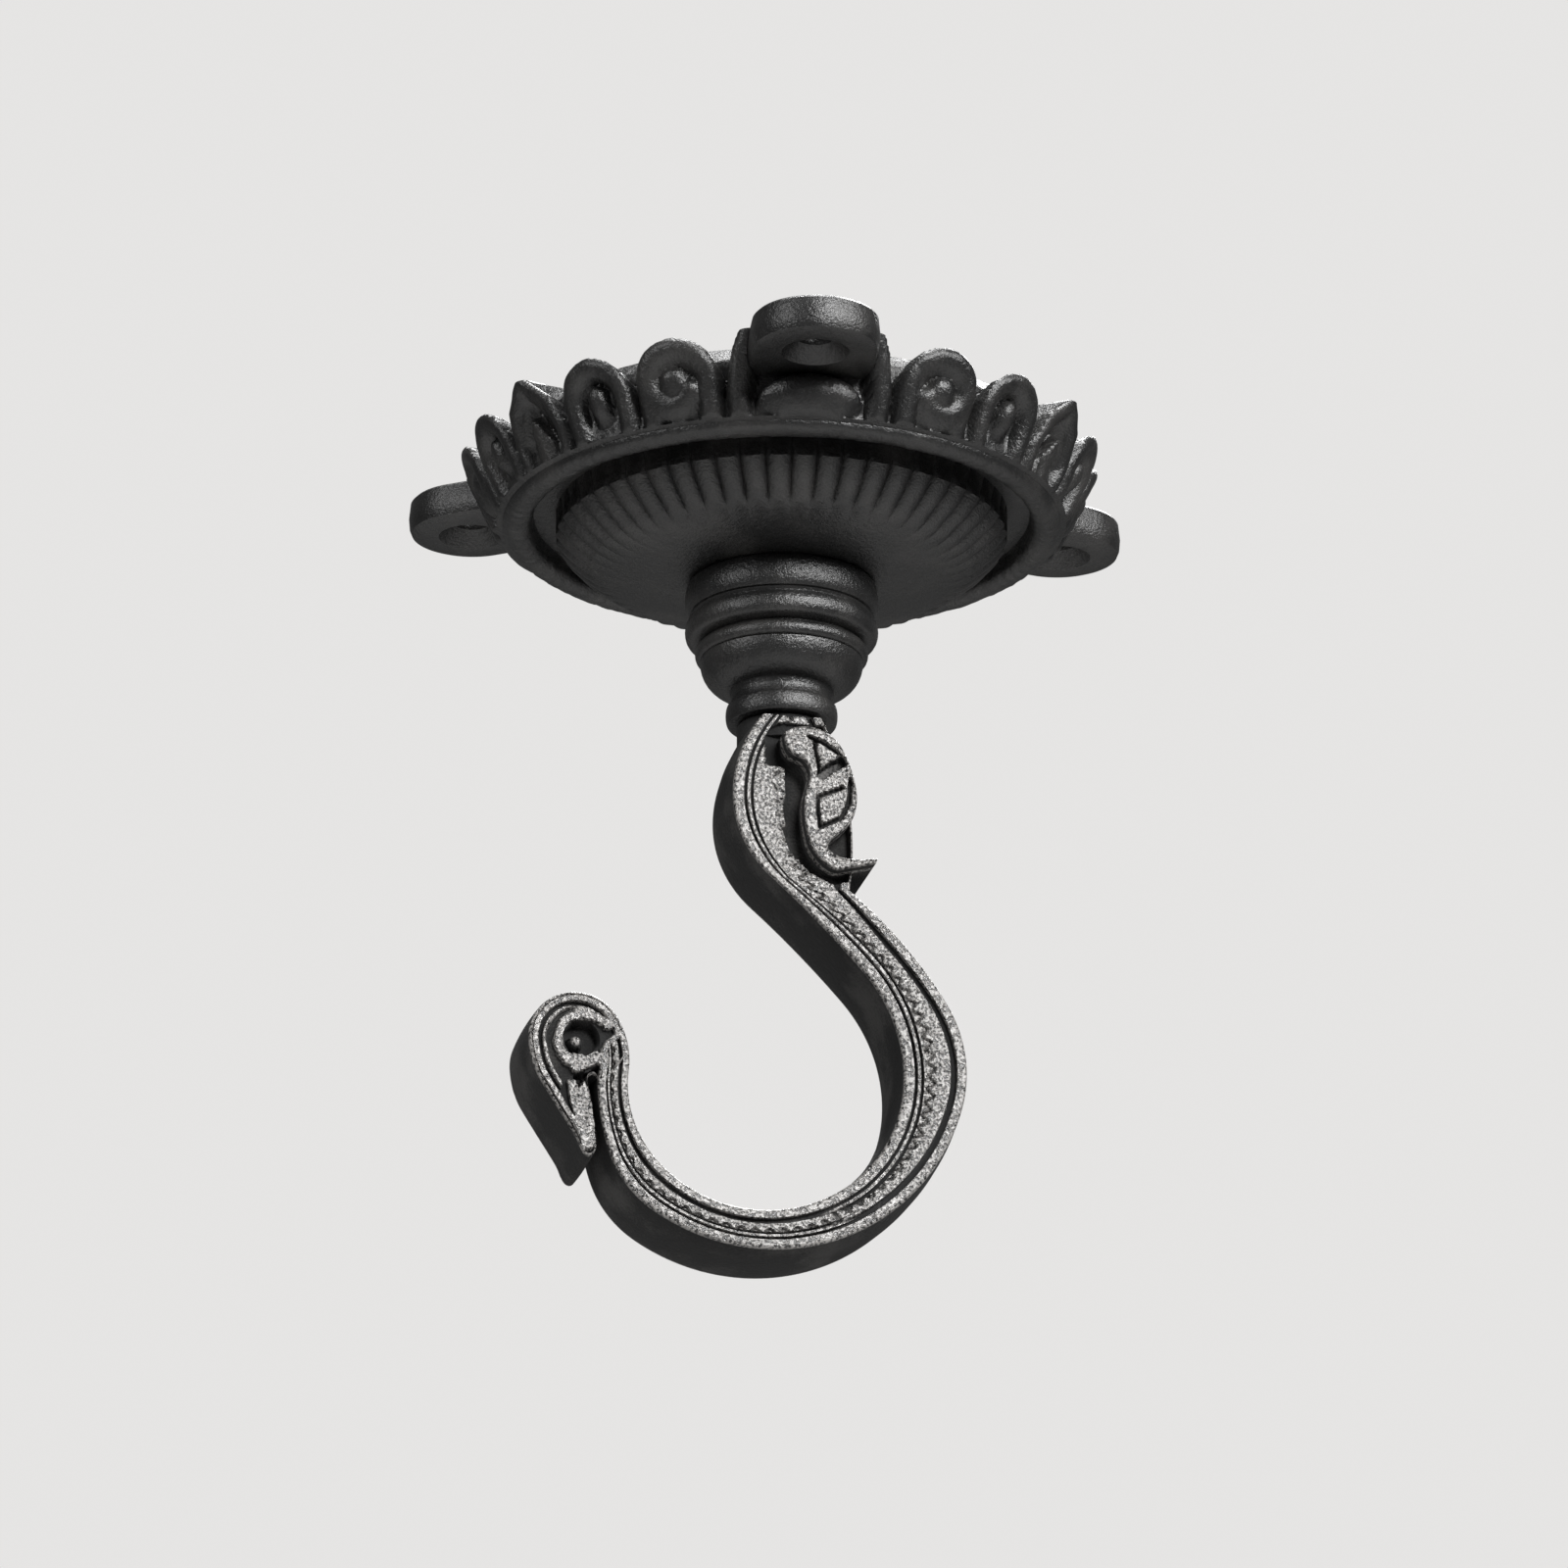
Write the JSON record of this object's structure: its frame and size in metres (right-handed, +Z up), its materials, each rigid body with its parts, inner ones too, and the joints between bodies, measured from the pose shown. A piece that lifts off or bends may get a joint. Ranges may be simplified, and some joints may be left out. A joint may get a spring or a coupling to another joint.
{
  "type": "ceiling hook",
  "caption": "Ornamental cast-iron ceiling hook: petalled canopy plate with screw ears, turned spool and an S-shaped hook that ends in a bird's head",
  "frame": {"origin": "centre of the ceiling plate's mounting face, on the axis of the hook's stud", "axes": "+Z up into the ceiling, along the stud; the hook's S lies in the XZ plane with its bird head towards -X"},
  "size_m": [0.0998, 0.1008, 0.1194],
  "materials": {
    "black_iron": "satin",
    "fastener_steel": "satin"
  },
  "bodies": {
    "root": {"ceiling_plate": "black_iron", "spool_collar": "black_iron", "hook": "black_iron", "washer": "fastener_steel", "hex_nut": "fastener_steel"}
  },
  "joints": []
}
